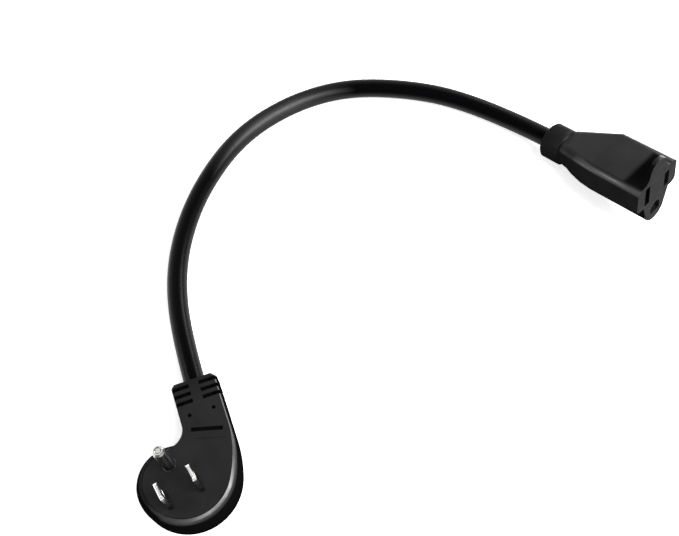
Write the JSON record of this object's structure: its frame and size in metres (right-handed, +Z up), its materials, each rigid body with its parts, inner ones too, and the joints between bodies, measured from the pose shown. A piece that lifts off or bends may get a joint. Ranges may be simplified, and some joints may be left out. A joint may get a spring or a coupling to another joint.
{
  "type": "flat plug extension lead",
  "caption": "Short extension lead: a flat low profile grounded plug, a thick round cord and a moulded socket connector with a finger lip.",
  "frame": {"origin": "on the plug's flat back, under the middle of the two blades; the floor is at z = 0", "axes": "+Z up along the pins, +X along the blade line from the neutral blade to the hot one, +Y from the blade line to the earth pin"},
  "size_m": [0.2528, 0.157, 0.0424],
  "materials": {
    "plug_moulding": "satin moulded vinyl",
    "connector_moulding": "satin moulded vinyl",
    "contact_block": "fine matt moulding",
    "inner_moulding": "plain moulding",
    "cord_jacket": "smooth soft gloss",
    "plated_pins": "bright nickel plate",
    "contact_brass": "rolled strip",
    "hot_core": "smooth core insulation",
    "neutral_core": "smooth core insulation",
    "ground_core": "smooth core insulation"
  },
  "bodies": {
    "root": {"plug_overmould": "plug_moulding", "blade_carrier": "inner_moulding", "hot_blade": "plated_pins", "neutral_blade": "plated_pins", "ground_pin": "plated_pins", "plug_hot_lead": "hot_core", "plug_neutral_lead": "neutral_core", "plug_ground_lead": "ground_core", "cord": "cord_jacket", "connector_overmould": "connector_moulding", "contact_carrier": "contact_block", "hot_contact": "contact_brass", "neutral_contact": "contact_brass", "ground_contact": "contact_brass", "connector_hot_lead": "hot_core", "connector_neutral_lead": "neutral_core", "connector_ground_lead": "ground_core"}
  },
  "joints": []
}
